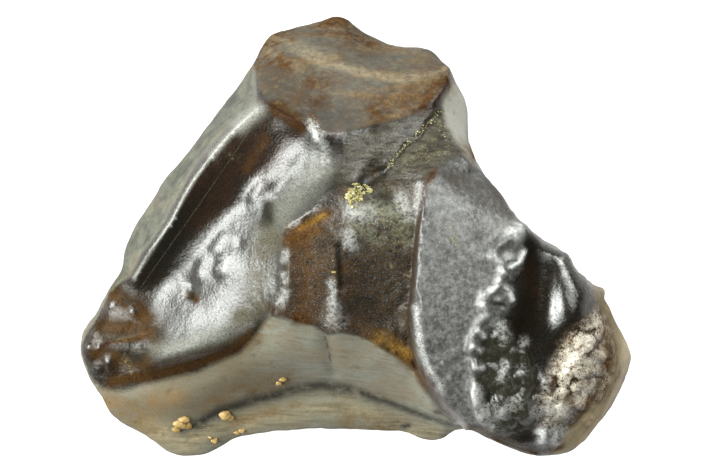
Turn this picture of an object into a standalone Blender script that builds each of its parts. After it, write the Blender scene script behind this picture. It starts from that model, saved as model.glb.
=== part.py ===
"""Fossil triceratops tooth, one naturally grown piece lying on its worn face.

The tooth has three lobes: a smooth wear facet at the top, an enamel slope that runs down to the left tip,
and a thick broken plate on the right, round a rough central block. The upper side is a film stretched
over hand-placed crests and valleys; the underside is lofted from the rim down to the flat worn face.
"""
import math

import bmesh
import bpy
import numpy as np
from mathutils import Vector, noise
from mathutils.geometry import delaunay_2d_cdt

# Driving dimensions in metres
LENGTH = 0.0221
HEIGHT = 0.0110
WORN_FACE_SHARE = 0.70
RIM_SPACING = 0.00040
TOP_SPACING = 0.00035
PLATE_SPACING = 0.00022

# The plan is drawn in steps of the photograph's pixel grid: column, row and height above the worn face.
# Heights are in millimetres, and DRAWN_HEIGHT is the highest of them.
LEFT_TIP_COLUMN = 79
RIGHT_TIP_COLUMN = 632
MIDDLE_COLUMN = 355.5
MIDDLE_ROW = 236.5
DRAWN_HEIGHT = 10.9
STEP = LENGTH / (RIGHT_TIP_COLUMN - LEFT_TIP_COLUMN)
RISE = HEIGHT / DRAWN_HEIGHT

TOOTH_COLOUR = (0.115, 0.092, 0.066, 1.0)
TOOTH_ROUGHNESS = 0.34

# Rim of the tooth as seen from above, clockwise from the left tip
RIM = [
    (79, 350, 4.0), (84, 327, 4.2), (94, 317, 4.2), (107, 294, 4.4), (110, 284, 4.4), (121, 273, 4.5),
    (127, 245, 4.7), (135, 228, 4.8), (150, 204, 5.0), (167, 175, 5.1), (182, 161, 5.2), (202, 134, 5.3),
    (223, 106, 5.4), (240, 83, 5.5), (254, 65, 5.6), (262, 48, 5.5), (269, 39, 5.4), (277, 33, 5.2),
    (295, 28, 4.9), (315, 23, 4.6), (334, 16, 4.3), (343, 17, 4.4), (360, 31, 4.8), (382, 43, 5.2),
    (402, 48, 5.4), (428, 48, 5.6), (434, 54, 5.7), (447, 66, 5.8), (452, 75, 5.8), (458, 87, 5.7),
    (465, 99, 5.6), (467, 113, 5.6), (468, 141, 5.8), (472, 147, 6.2), (475, 165, 7.6), (488, 182, 8.9),
    (499, 193, 9.3), (507, 204, 9.6), (513, 213, 9.8), (525, 226, 9.8), (550, 242, 9.5), (559, 247, 9.5),
    (568, 259, 9.4), (579, 273, 9.2), (590, 286, 8.3), (597, 288, 6.4), (603, 294, 5.6), (605, 304, 5.3),
    (613, 314, 4.8), (617, 325, 4.6), (625, 339, 4.4), (632, 353, 4.2), (632, 358, 4.1), (625, 379, 4.1),
    (613, 405, 4.4), (598, 426, 5.0), (585, 440, 5.7), (572, 453, 6.4), (557, 457, 6.9), (539, 456, 7.3),
    (518, 449, 7.6), (496, 440, 7.8), (472, 428, 7.1), (463, 428, 4.4), (452, 432, 3.8), (442, 439, 3.5),
    (433, 441, 3.4), (424, 440, 3.4), (415, 435, 3.5), (403, 431, 3.6), (385, 431, 3.7), (340, 427, 3.8),
    (303, 428, 3.8), (290, 430, 3.7), (276, 430, 3.7), (250, 435, 3.6), (240, 435, 3.5), (228, 440, 3.4),
    (219, 447, 3.3), (203, 455, 3.2), (175, 455, 3.2), (161, 447, 3.3), (150, 438, 3.4), (136, 429, 3.5),
    (121, 424, 3.5), (108, 412, 3.6), (100, 395, 3.7), (92, 383, 3.8), (82, 364, 3.9),
]

# Sharp crests and rims, where two faces meet at an edge
SHARP_LINES = {
    "left edge of the wear facet": [(257, 64, 6.4), (259, 80, 7.2), (263, 98, 7.9), (268, 103, 8.2)],
    "lower edge of the wear facet": [
        (268, 103, 8.2), (277, 108, 8.4), (288, 116, 8.6), (299, 122, 8.8), (319, 131, 8.9), (333, 134, 8.9),
        (347, 132, 8.8), (362, 129, 8.7),
    ],
    "right edge of the wear facet": [(447, 70, 6.9), (447, 82, 7.5), (440, 95, 7.9), (431, 104, 8.2)],
    "crest of the left wall": [
        (262, 106, 8.4), (248, 117, 8.25), (229, 135, 8.0), (205, 163, 7.6), (194, 180, 7.4), (184, 196, 7.2),
        (172, 221, 6.75), (159, 240, 6.35), (148, 253, 6.0), (135, 278, 5.35),
    ],
    "edge of the side wall": [
        (441, 112, 8.1), (445, 128, 8.3), (453, 143, 8.7), (461, 154, 9.0), (470, 165, 9.2),
    ],
    "crack bed": [
        (441, 112, 7.9), (435, 117, 8.1), (423, 129, 8.3), (411, 141, 8.55), (402, 149, 8.7), (393, 161, 8.8),
        (381, 173, 8.7), (371, 180, 8.9),
    ],
    "broken lip above the block": [
        (278, 240, 8.6), (283, 229, 9.0), (296, 221, 9.3), (309, 213, 9.5), (320, 204, 9.6), (327, 192, 9.6),
        (337, 186, 9.5), (352, 184, 9.4),
    ],
    "left rim of the block": [
        (288, 240, 9.4), (289, 255, 9.45), (289, 275, 9.35), (288, 295, 9.15), (284, 309, 8.85),
    ],
    "foot of the left rim": [
        (281, 244, 8.8), (280, 258, 8.7), (280, 278, 8.6), (279, 296, 8.4), (272, 312, 8.3),
    ],
    "lower rim of the block": [
        (272, 315, 8.4), (281, 314, 8.6), (290, 318, 8.7), (314, 325, 8.7), (328, 334, 8.5), (341, 332, 8.7),
        (357, 335, 8.6), (370, 340, 8.5), (385, 350, 8.3), (402, 359, 8.1), (417, 368, 7.9),
    ],
    "ridge of the block": [
        (333, 232, 10.1), (334, 250, 10.15), (335, 275, 10.0), (336, 300, 9.6), (334, 322, 9.0),
    ],
    "left edge of the plate": [
        (438, 170, 10.2), (426, 181, 10.3), (424, 200, 10.5), (422, 215, 10.7), (419, 240, 10.8),
        (416, 278, 10.9), (414, 300, 10.8), (413, 323, 10.6), (417, 350, 10.3), (423, 370, 10.0),
        (433, 386, 9.7), (446, 402, 9.5), (460, 417, 9.2), (474, 425, 8.95), (496, 436, 8.65),
        (518, 445, 8.35), (538, 451, 8.05),
    ],
    "bevel of the plate's edge": [
        (418, 288, 10.9), (421, 303, 10.85), (421, 324, 10.75), (425, 348, 10.5), (431, 366, 10.25),
        (441, 382, 9.95), (451, 396, 9.65),
    ],
    "foot of the plate": [
        (421, 184, 9.9), (419, 200, 10.0), (417, 215, 10.0), (414, 240, 9.8), (411, 278, 9.4),
        (409, 300, 9.1), (408, 323, 8.7), (411, 350, 8.2), (417, 372, 7.6), (427, 390, 7.0),
        (440, 407, 6.2), (453, 420, 5.2), (462, 426, 4.4),
    ],
    "right rim of the plate": [
        (586, 288, 8.8), (596, 303, 8.3), (606, 322, 7.9), (612, 343, 7.6), (613, 360, 7.5), (605, 384, 7.5),
        (592, 407, 7.5), (579, 426, 7.6), (566, 441, 7.7), (553, 450, 7.8),
    ],
}

# Soft crests and hollows, let go at the last so that the surface rounds over them
SOFT_LINES = {
    "light crest of the wear facet": [
        (258, 60, 6.5), (285, 56, 6.9), (330, 66, 7.3), (380, 77, 7.5), (430, 75, 7.2), (446, 70, 6.8),
    ],
    "outer band of the wear facet": [
        (270, 46, 5.9), (300, 40, 6.0), (337, 38, 5.9), (375, 54, 6.3), (415, 58, 6.4),
    ],
    "hollow of the wear facet": [
        (282, 84, 7.4), (315, 96, 7.7), (350, 104, 7.9), (390, 104, 8.0), (425, 94, 7.8),
    ],
    "shoulder above the crack": [(372, 128, 8.6), (396, 122, 8.5), (420, 113, 8.4)],
    "wrinkled saddle": [(346, 150, 8.7), (358, 160, 9.0), (372, 152, 9.0), (392, 142, 8.8), (410, 128, 8.6)],
    "saddle under the crack": [
        (392, 172, 9.4), (405, 162, 9.3), (420, 150, 9.0), (434, 138, 8.7), (440, 150, 9.1), (450, 162, 9.5),
    ],
    "valley behind the left crest": [
        (301, 131, 8.35), (293, 150, 8.05), (278, 175, 7.6), (256, 200, 7.1), (231, 222, 6.6), (207, 243, 6.0),
        (186, 264, 5.45), (168, 284, 5.0), (150, 302, 4.65),
    ],
    "bulge of the slope": [
        (340, 146, 8.95), (323, 163, 8.85), (302, 184, 8.55), (280, 203, 8.2), (256, 224, 7.85),
        (232, 250, 7.45),
        (214, 276, 6.95), (206, 298, 6.6),
    ],
    "grey shoulder": [
        (336, 168, 8.85), (312, 194, 8.75), (285, 216, 8.4), (262, 246, 8.1), (250, 276, 7.8), (250, 300, 7.6),
    ],
    "lower enamel swelling": [
        (251, 331, 7.35), (222, 343, 7.0), (190, 352, 6.55), (161, 361, 5.9), (147, 364, 5.4),
    ],
    "foot of the swelling": [
        (268, 330, 7.4), (243, 351, 6.2), (198, 371, 5.1), (150, 381, 4.6), (122, 386, 4.4),
    ],
    "hollow before the tip": [(180, 300, 5.9), (160, 318, 5.3), (142, 330, 4.9)],
    "knob ridge of the tip": [(146, 333, 5.3), (128, 338, 5.1), (110, 340, 4.9), (94, 343, 4.6)],
    "tip hollow": [(138, 352, 4.6), (124, 362, 4.4), (106, 360, 4.3)],
    "band at half height": [
        (130, 398, 4.5), (170, 402, 5.0), (210, 386, 5.8), (250, 370, 6.5), (290, 352, 7.2), (324, 352, 7.4),
        (350, 356, 7.4), (380, 372, 6.9), (410, 392, 6.0), (440, 410, 5.2),
    ],
    "dark groove": [
        (160, 436, 3.9), (173, 436, 3.9), (196, 424, 4.0), (219, 409, 4.2), (248, 402, 4.3), (276, 395, 4.5),
        (299, 388, 4.7), (322, 385, 4.8), (357, 391, 4.8), (380, 399, 4.6), (403, 408, 4.4), (426, 417, 4.2),
        (452, 423, 4.0),
    ],
    "crest of the lower lip": [
        (190, 443, 3.8), (230, 424, 4.15), (276, 411, 4.5), (322, 403, 4.75), (370, 410, 4.65), (420, 428, 4.1),
    ],
    "hollow of the block": [
        (368, 232, 10.0), (374, 262, 9.6), (380, 296, 9.0), (388, 330, 8.5),
    ],
    "top of the block": [
        (352, 200, 10.2), (362, 220, 10.25), (392, 208, 10.2), (404, 228, 10.1), (398, 262, 9.7),
    ],
    "left face of the block": [(306, 238, 9.2), (311, 262, 9.15), (312, 290, 8.95), (306, 310, 8.8)],
    "face of the plate": [
        (448, 190, 10.35), (446, 240, 10.75), (444, 300, 10.85), (452, 350, 10.6), (470, 380, 10.2),
        (494, 412, 9.6),
    ],
    "middle of the plate": [
        (470, 190, 10.2), (478, 230, 10.5), (480, 270, 10.65), (480, 310, 10.6), (482, 345, 10.35),
    ],
    "brink of the trough": [
        (486, 200, 10.05), (500, 222, 10.2), (509, 250, 10.35), (513, 280, 10.4), (511, 308, 10.3),
        (504, 340, 10.1), (500, 370, 9.9), (507, 400, 9.65), (524, 430, 9.1),
    ],
    "trough of the plate": [
        (531, 240, 9.5), (540, 262, 9.4), (544, 290, 9.3), (543, 315, 9.2), (537, 340, 9.15), (532, 368, 9.1),
        (535, 400, 8.95), (546, 430, 8.4),
    ],
    "ridge beyond the trough": [
        (560, 254, 9.65), (570, 268, 9.85), (576, 288, 9.95), (581, 308, 9.85), (589, 328, 9.55),
        (595, 350, 9.3),
        (591, 376, 9.0), (579, 402, 8.7), (565, 426, 8.3),
    ],
}

# Rounded swellings and pits: column, row, half length, half width, turn in degrees, height in millimetres
SWELLINGS = [
    (316, 138, 17, 10, 55, 0.16), (291, 160, 12, 8, 55, 0.12), (264, 190, 18, 10, 55, 0.16),
    (242, 228, 9, 7, 20, 0.13), (190, 256, 24, 10, 58, 0.16), (222, 258, 17, 8, 62, 0.13),
    (228, 326, 16, 12, 20, 0.13), (196, 342, 17, 11, 20, 0.14), (165, 350, 12, 9, 20, 0.14),
    (267, 220, 7, 12, 0, -0.12), (236, 246, 5, 10, 8, -0.09), (211, 273, 4, 9, 8, -0.09),
    (192, 291, 6, 12, 10, -0.12), (94, 332, 9, 8, 20, 0.26), (84, 346, 6, 8, 0, 0.20),
    (112, 361, 8, 8, 0, 0.26), (127, 372, 8, 7, 0, 0.22), (131, 309, 11, 7, 40, 0.22),
    (114, 300, 10, 6, 60, 0.16), (108, 318, 7, 6, 0, -0.18), (102, 347, 8, 5, 0, -0.16),
    (374, 176, 11, 6, 40, -0.45), (352, 196, 8, 9, 0, 0.18), (366, 210, 8, 8, 0, 0.16),
    (419, 200, 6, 12, 0, 0.12), (352, 240, 9, 9, 0, 0.14), (339, 308, 10, 19, 0, 0.26),
    (390, 195, 13, 8, 10, -0.20), (311, 228, 20, 9, 14, -0.26), (372, 320, 22, 14, 0, -0.12),
    (516, 232, 14, 10, 50, 0.30), (479, 259, 6, 8, 0, 0.08), (480, 281, 6, 7, 0, 0.08),
    (482, 336, 7, 6, 0, 0.13), (472, 346, 7, 6, 0, 0.13), (476, 363, 6, 6, 0, 0.13),
    (490, 313, 7, 7, 0, 0.14), (489, 330, 5, 5, 0, -0.14), (511, 284, 7, 6, 0, -0.18),
    (478, 396, 6, 13, 0, 0.14), (485, 417, 9, 9, 20, 0.14), (565, 264, 8, 14, -20, 0.16),
    (566, 308, 10, 17, 20, 0.22), (594, 319, 8, 11, 20, 0.16),
    (584, 350, 15, 13, 0, 0.18), (601, 367, 9, 9, 0, 0.12), (572, 374, 8, 8, 0, 0.12),
    (555, 394, 6, 13, -10, -0.24), (545, 438, 9, 8, 0, 0.24), (560, 437, 8, 10, 0, 0.16),
    (589, 419, 9, 6, 30, 0.14), (552, 427, 20, 5, 8, -0.14), (597, 295, 6, 6, 0, 0.4),
    (510, 350, 7, 7, 0, 0.12), (500, 372, 8, 7, 0, 0.10), (518, 388, 8, 8, 0, 0.10),
    (450, 376, 12, 7, -60, 0.07), (462, 398, 10, 7, -50, 0.08), (446, 350, 8, 10, 0, -0.05),
]

# Raised strokes and furrows: half width, height in millimetres, and the points they pass through
STROKES = [
    (5.0, 0.14, [(492, 250), (501, 246), (512, 247), (522, 253)]),
    (5.0, 0.13, [(523, 262), (514, 268), (503, 270), (495, 266)]),
    (4.5, 0.12, [(491, 251), (492, 260), (496, 271), (503, 278)]),
    (4.0, -0.12, [(500, 257), (508, 260), (516, 258)]),
    (6.0, 0.18, [(478, 316), (477, 306), (481, 297), (490, 291), (501, 290), (509, 295), (512, 303)]),
    (4.0, -0.14, [(488, 306), (496, 302), (505, 306)]),
    (3.5, 0.14, [(502, 313), (508, 315), (514, 320)]),
    (3.5, -0.12, [(502, 316), (496, 324), (490, 333)]),
    (3.5, 0.12, [(539, 306), (541, 314), (532, 319)]),
    (4.0, 0.12, [(546, 378), (553, 373), (561, 378), (565, 390), (562, 402), (554, 409)]),
    (4.5, -0.20, [(325, 334), (328, 345), (332, 360), (334, 372)]),
    (3.5, 0.08, [(457, 154), (469, 165), (471, 186), (470, 212), (480, 235)]),
    (3.0, -0.26, [(381, 173), (402, 149), (423, 129), (441, 112)]),
    (5.0, 0.10, [(540, 238), (558, 248), (572, 266), (588, 288)]),
    (4.0, -0.10, [(310, 254), (324, 248), (338, 238), (346, 222)]),
]

# Relaxation of the film, from coarse to fine cells, and how often the soft lines are smoothed at the end
CELLS = (40.0, 20.0, 10.0, 5.0, 2.5)
ROUNDS_PER_CELL = 260
SOFT_ROUNDS = 46
GRID_LEFT = 60.0
GRID_TOP = 0.0
GRID_WIDTH = 600.0
GRID_HEIGHT = 480.0

# Small forms fade out near the rim, and swellings fall off the faster, the higher this power
FADE_WIDTH = 8.0
SWELLING_POWER = 1.3

# The net is finer right of and below this plan position, on the rough part of the plate
FINE_LEFT = 462.0
FINE_TOP = 214.0
CREST_SPACING_SHARE = 0.9
CLEARANCE_SHARE = 0.62
ROW_SPACING_SHARE = 0.866

# Angles of the loft from the rim down to the worn face, and the lumps of the side
LOFT_ANGLES = (0, 12, 25, 38, 51, 63, 74)
SIDE_LUMP_SIZE = 62.0
SIDE_LUMP_HEIGHT = 9.0
SIDE_LUMP_RISE = 2.6
SMALL_LUMP_SHARE = 0.4
SMALL_LUMP_SIZE = 2.3
SHARP_ANGLE = math.radians(48)


def walk(points, spacing):
    """Points at even spacing along an open line through the given points."""
    points = np.array(points, dtype=float)
    runs = np.hypot(*(points[1:, :2] - points[:-1, :2]).T)
    along = np.concatenate(([0.0], np.cumsum(runs)))
    count = max(2, int(round(along[-1] / spacing)) + 1)
    places = np.linspace(0.0, along[-1], count)
    return np.stack([np.interp(places, along, column) for column in points.T], axis=1)


def read_grid(grid, cell, columns, rows):
    """Heights read from the grid at the given plan positions, evenly blended between its nodes."""
    u = np.clip((columns - GRID_LEFT) / cell, 0, grid.shape[1] - 1.001)
    v = np.clip((rows - GRID_TOP) / cell, 0, grid.shape[0] - 1.001)
    i, j = v.astype(int), u.astype(int)
    a, b = v - i, u - j
    low = grid[i, j] * (1 - b) + grid[i, j + 1] * b
    high = grid[i + 1, j] * (1 - b) + grid[i + 1, j + 1] * b
    return low * (1 - a) + high * a


def pin_lines(lines, cell, shape):
    """Which grid nodes the lines pass, and the heights that they hold there."""
    total = np.zeros(shape)
    count = np.zeros(shape)
    for line in lines:
        for column, row, height in walk(line, cell * 0.5):
            node = (int(round((row - GRID_TOP) / cell)), int(round((column - GRID_LEFT) / cell)))
            total[node] += height
            count[node] += 1
    return count > 0, total / np.maximum(count, 1)


def relax(grid, held, heights, rounds):
    """Evens the film out, round by round, with the held nodes kept where they are."""
    for _ in range(rounds):
        edge = np.pad(grid, 1, mode="edge")
        even = (edge[:-2, 1:-1] + edge[2:, 1:-1] + edge[1:-1, :-2] + edge[1:-1, 2:]) / 4
        grid = np.where(held, heights, even)
    return grid


def stretch_film():
    """Heights of the upper side on the finest grid: a film over the crests, valleys and rim."""
    sharp = [RIM + RIM[:1]] + list(SHARP_LINES.values())
    every_line = sharp + list(SOFT_LINES.values())
    grid = None
    for cell in CELLS:
        shape = (int(GRID_HEIGHT / cell) + 1, int(GRID_WIDTH / cell) + 1)
        if grid is None:
            grid = np.full(shape, DRAWN_HEIGHT / 2)
        else:
            rows, columns = np.mgrid[0:shape[0], 0:shape[1]] * cell
            grid = read_grid(grid, cell * 2, columns + GRID_LEFT, rows + GRID_TOP)
        held, heights = pin_lines(every_line, cell, shape)
        grid = relax(grid, held, heights, ROUNDS_PER_CELL)
    held, heights = pin_lines(sharp, CELLS[-1], grid.shape)
    return relax(grid, held, heights, SOFT_ROUNDS)


def swelling_heights(columns, rows):
    """Height that the swellings and pits add at plan positions."""
    added = np.zeros(len(columns))
    for column, row, half_length, half_width, turn, height in SWELLINGS:
        angle = math.radians(turn)
        across, down = columns - column, rows - row
        u = (across * math.cos(angle) - down * math.sin(angle)) / half_length
        v = (across * math.sin(angle) + down * math.cos(angle)) / half_width
        added += height * np.exp(-(u * u + v * v) ** SWELLING_POWER)
    return added


def distance_to_line(columns, rows, points):
    """Plan distance from each position to a line of points."""
    nearest = np.full(len(columns), 1e9)
    for (x0, y0), (x1, y1) in zip(points[:-1], points[1:]):
        run = (x1 - x0) ** 2 + (y1 - y0) ** 2
        share = np.clip(((columns - x0) * (x1 - x0) + (rows - y0) * (y1 - y0)) / run, 0, 1)
        nearest = np.minimum(nearest, np.hypot(columns - x0 - share * (x1 - x0), rows - y0 - share * (y1 - y0)))
    return nearest


def stroke_heights(columns, rows):
    """Height that the raised strokes and furrows add at plan positions."""
    added = np.zeros(len(columns))
    for half_width, height, points in STROKES:
        added += height * np.exp(-(distance_to_line(columns, rows, points) / half_width) ** 2)
    return added


def rim_distance(columns, rows):
    """Plan distance of each position from the rim."""
    return distance_to_line(columns, rows, [(column, row) for column, row, _ in RIM + RIM[:1]])


def upper_heights(film, columns, rows):
    """Height of the upper side at plan positions, with its small forms faded out at the rim."""
    fade = np.clip(rim_distance(columns, rows) / FADE_WIDTH, 0, 1)
    small = swelling_heights(columns, rows) + stroke_heights(columns, rows)
    return read_grid(film, CELLS[-1], columns, rows) + fade * small


def inside(columns, rows, polygon):
    """True where a plan position lies inside the polygon."""
    result = np.zeros(len(columns), dtype=bool)
    ends = np.roll(polygon, -1, axis=0)
    for (x0, y0), (x1, y1) in zip(polygon[:, :2], ends[:, :2]):
        crosses = (y0 > rows) != (y1 > rows)
        slope = (x1 - x0) / (y1 - y0 + (1e-9 if y1 == y0 else 0.0))
        result ^= crosses & (columns < x0 + (rows - y0) * slope)
    return result


def scatter(spacing):
    """A net of staggered points all over the grid, at the given spacing."""
    points = []
    row = GRID_TOP
    shift = 0.0
    while row < GRID_TOP + GRID_HEIGHT:
        for column in np.arange(GRID_LEFT + shift, GRID_LEFT + GRID_WIDTH, spacing):
            points.append((column, row))
        row += spacing * ROW_SPACING_SHARE
        shift = spacing / 2 - shift
    return np.array(points)


def far_from(points, others, least):
    """Those of the points that lie at least so far from all the others."""
    keep = np.ones(len(points), dtype=bool)
    for column, row in others:
        keep &= np.hypot(points[:, 0] - column, points[:, 1] - row) > least
    return points[keep]


def plan_net():
    """The upper side's net in plan: its points, its triangles and the number of points on the rim."""
    rim = walk(RIM + RIM[:1], RIM_SPACING / STEP)[:-1]
    crest_points = []
    crest_edges = []
    for line in SHARP_LINES.values():
        points = walk(line, CREST_SPACING_SHARE * TOP_SPACING / STEP)[:, :2]
        first = len(rim) + len(crest_points)
        crest_edges += [(first + k, first + k + 1) for k in range(len(points) - 1)]
        crest_points += [tuple(point) for point in points]
    fixed = np.array([tuple(point[:2]) for point in rim] + crest_points)
    loose = []
    for spacing, wanted in ((TOP_SPACING / STEP, False), (PLATE_SPACING / STEP, True)):
        net = scatter(spacing)
        on_plate = (net[:, 0] > FINE_LEFT) & (net[:, 1] > FINE_TOP)
        loose.append(far_from(net[on_plate == wanted], fixed, CLEARANCE_SHARE * spacing))
    loose = np.concatenate(loose)
    loose = loose[inside(loose[:, 0], loose[:, 1], rim)]
    points = [Vector(point) for point in np.concatenate([fixed, loose])]
    rim_loop = [list(range(len(rim)))]
    result = delaunay_2d_cdt(points, crest_edges, rim_loop, 1, 0.001)
    plan = np.array([tuple(point) for point in result[0]])
    return plan, [tuple(face) for face in result[2]], rim


def in_metres(column, row, height):
    """World position of a plan position and a drawn height."""
    return Vector(((column - MIDDLE_COLUMN) * STEP, (MIDDLE_ROW - row) * STEP, height * RISE))


def side_lump(column, row, height):
    """Uneven swelling of the lower side, from a smooth noise in space."""
    place = Vector((column / SIDE_LUMP_SIZE, row / SIDE_LUMP_SIZE, height / SIDE_LUMP_RISE))
    return noise.noise(place) + SMALL_LUMP_SHARE * noise.noise(place * SMALL_LUMP_SIZE)


def loft_rings(rim):
    """Rings of plan positions and heights, from the rim down to the worn face."""
    centre = rim[:, :2].mean(axis=0)
    last = math.radians(LOFT_ANGLES[-1])
    rings = []
    for angle in (math.radians(degrees) for degrees in LOFT_ANGLES):
        inward = (1 - math.cos(angle)) / (1 - math.cos(last)) * (1 - WORN_FACE_SHARE)
        lower = 1 - math.sin(angle) / math.sin(last)
        ring = []
        for column, row, height in rim:
            swell = SIDE_LUMP_HEIGHT * math.sin(math.pi * angle / last)
            lump = side_lump(column, row, height * lower) * swell
            outward = np.array((column, row)) - centre
            reach = np.linalg.norm(outward)
            place = centre + outward * (1 - inward + lump / reach)
            ring.append((place[0], place[1], height * lower))
        rings.append(ring)
    return rings


def tooth_mesh():
    """The whole tooth as one closed mesh."""
    film = stretch_film()
    plan, faces, rim = plan_net()
    heights = upper_heights(film, plan[:, 0], plan[:, 1])
    heights[:len(rim)] = rim[:, 2]
    bm = bmesh.new()
    top = [bm.verts.new(in_metres(*place, height)) for place, height in zip(plan, heights)]
    for face in faces:
        bm.faces.new([top[k] for k in face])
    upper_ring = top[:len(rim)]
    for ring in loft_rings(rim)[1:]:
        lower_ring = [bm.verts.new(in_metres(*place)) for place in ring]
        for k in range(len(rim)):
            after = (k + 1) % len(rim)
            bm.faces.new((upper_ring[k], lower_ring[k], lower_ring[after], upper_ring[after]))
        upper_ring = lower_ring
    bm.faces.new(upper_ring)
    bmesh.ops.recalc_face_normals(bm, faces=bm.faces)
    bmesh.ops.triangulate(bm, faces=bm.faces)
    mesh = bpy.data.meshes.new("tooth")
    bm.to_mesh(mesh)
    bm.free()
    return mesh


def tooth_material():
    """Dark brown fossil enamel, satin to glossy."""
    material = bpy.data.materials.new("fossil enamel")
    material.use_nodes = True
    shader = material.node_tree.nodes["Principled BSDF"]
    shader.inputs["Base Color"].default_value = TOOTH_COLOUR
    shader.inputs["Roughness"].default_value = TOOTH_ROUGHNESS
    shader.inputs["Metallic"].default_value = 0.0
    return material


def main():
    """Clears the scene and makes the tooth in its own collection."""
    for thing in list(bpy.data.objects):
        bpy.data.objects.remove(thing, do_unlink=True)
    collection = bpy.data.collections.new("fossil_triceratops_tooth")
    bpy.context.scene.collection.children.link(collection)
    mesh = tooth_mesh()
    mesh.materials.append(tooth_material())
    mesh.shade_smooth()
    mesh.set_sharp_from_angle(angle=SHARP_ANGLE)
    collection.objects.link(bpy.data.objects.new("tooth", mesh))
    print("tooth:", len(mesh.polygons), "triangles")


main()
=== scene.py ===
# %% [markdown]
# # A fossil tooth on a light table
# The object is one worn tooth of a horned dinosaur, turned to stone. Its enamel is nearly black and glossy,
# its worn faces are satin grey-brown, its broken core glitters, and a little yellow mineral has settled in
# its crack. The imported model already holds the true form. This script gives it a fine surface and a finish,
# lays it on a pale light table, and looks straight down on it.

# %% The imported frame
import math

import bmesh
import bpy
import numpy as np
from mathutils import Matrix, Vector, noise
from mathutils.bvhtree import BVHTree


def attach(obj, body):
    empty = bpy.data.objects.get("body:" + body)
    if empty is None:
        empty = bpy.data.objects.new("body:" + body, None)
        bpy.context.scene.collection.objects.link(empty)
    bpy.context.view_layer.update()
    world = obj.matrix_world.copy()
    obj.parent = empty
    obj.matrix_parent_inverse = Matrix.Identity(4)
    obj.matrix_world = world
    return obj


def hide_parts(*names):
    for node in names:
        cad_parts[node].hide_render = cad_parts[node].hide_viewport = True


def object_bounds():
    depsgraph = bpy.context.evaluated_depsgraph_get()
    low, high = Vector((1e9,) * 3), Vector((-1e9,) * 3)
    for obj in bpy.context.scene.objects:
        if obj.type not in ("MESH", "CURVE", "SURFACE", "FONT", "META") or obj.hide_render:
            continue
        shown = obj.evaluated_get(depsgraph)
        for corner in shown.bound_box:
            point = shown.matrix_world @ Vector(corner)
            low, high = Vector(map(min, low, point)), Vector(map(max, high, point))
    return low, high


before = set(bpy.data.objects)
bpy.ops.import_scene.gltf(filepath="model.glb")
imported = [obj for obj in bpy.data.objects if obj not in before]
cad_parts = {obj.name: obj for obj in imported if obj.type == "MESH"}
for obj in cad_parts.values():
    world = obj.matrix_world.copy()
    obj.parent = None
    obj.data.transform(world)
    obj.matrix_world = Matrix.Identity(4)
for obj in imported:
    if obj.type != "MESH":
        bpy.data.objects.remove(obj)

cad_low, cad_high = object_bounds()
tooth_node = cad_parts["tooth"]
print("tooth in millimetres:", [round(1000 * side, 2) for side in cad_high - cad_low])

# %% [markdown]
# Every form and stain on the tooth is placed by its column and row in a picture taken from above. One step
# of that grid is the tooth's length divided by the 553 columns between its left and right tips, which makes
# it a twenty-fifth of a millimetre.

# %% Plan positions
COLUMNS_ACROSS = 553.0
MIDDLE_COLUMN = 355.5
MIDDLE_ROW = 236.5
STEP = (cad_high.x - cad_low.x) / COLUMNS_ACROSS


def plan_of(places):
    """Columns and rows of positions in metres."""
    return places[:, 0] / STEP + MIDDLE_COLUMN, MIDDLE_ROW - places[:, 1] / STEP


def plan_point(column, row):
    """Position in metres, at height zero, of a column and a row."""
    return Vector(((column - MIDDLE_COLUMN) * STEP, (MIDDLE_ROW - row) * STEP, 0.0))


print("one step in millimetres:", round(1000 * STEP, 4))

# %% [markdown]
# Small specimens are photographed from far off with a long lens, so that near and far parts keep the same
# scale. The camera hangs 0.7 m above the tooth, and its lens is worked out from the width of the picture.

# %% The camera
PICTURE_COLUMNS = 708
PICTURE_CENTRE = plan_point(354.0, 236.0)
CAMERA_HEIGHT = 0.7
SENSOR_WIDTH = 36.0

scene = bpy.context.scene


def placed(name, data):
    """A new object in the scene, which shows the data: a mesh, a curve, a light or a camera."""
    thing = bpy.data.objects.new(name, data)
    scene.collection.objects.link(thing)
    return thing


camera = placed("camera", bpy.data.cameras.new("camera"))
camera.location = PICTURE_CENTRE + Vector((0, 0, CAMERA_HEIGHT + cad_high.z / 2))
camera.data.sensor_width = SENSOR_WIDTH
camera.data.lens = SENSOR_WIDTH * CAMERA_HEIGHT / (PICTURE_COLUMNS * STEP)
camera.data.clip_start = 0.01
camera.data.clip_end = 20.0
bpy.context.scene.camera = camera
print("lens in millimetres:", round(camera.data.lens))

# %% [markdown]
# The maths of a finish reads best as ordinary sums. The class below wraps a socket, so that adding or
# multiplying two of them makes the Math node that does it. Every other node comes from one method of the
# finish, which takes the node's type, its settings and what goes into its sockets.

# %% Sockets that can be added and multiplied
class Amount:
    """A number in a shader, with the operators that the finishes use."""

    def __init__(self, finish, socket):
        self.finish = finish
        self.socket = socket

    def join(self, operation, first, second):
        """Two numbers or sockets, joined by a Math node."""
        return self.finish.node("ShaderNodeMath", {"operation": operation}, {0: first, 1: second})

    def __add__(self, other):
        return self.join("ADD", self, other)

    __radd__ = __add__

    def __sub__(self, other):
        return self.join("SUBTRACT", self, other)

    def __rsub__(self, other):
        return self.join("SUBTRACT", other, self)

    def __mul__(self, other):
        return self.join("MULTIPLY", self, other)

    __rmul__ = __mul__


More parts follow.
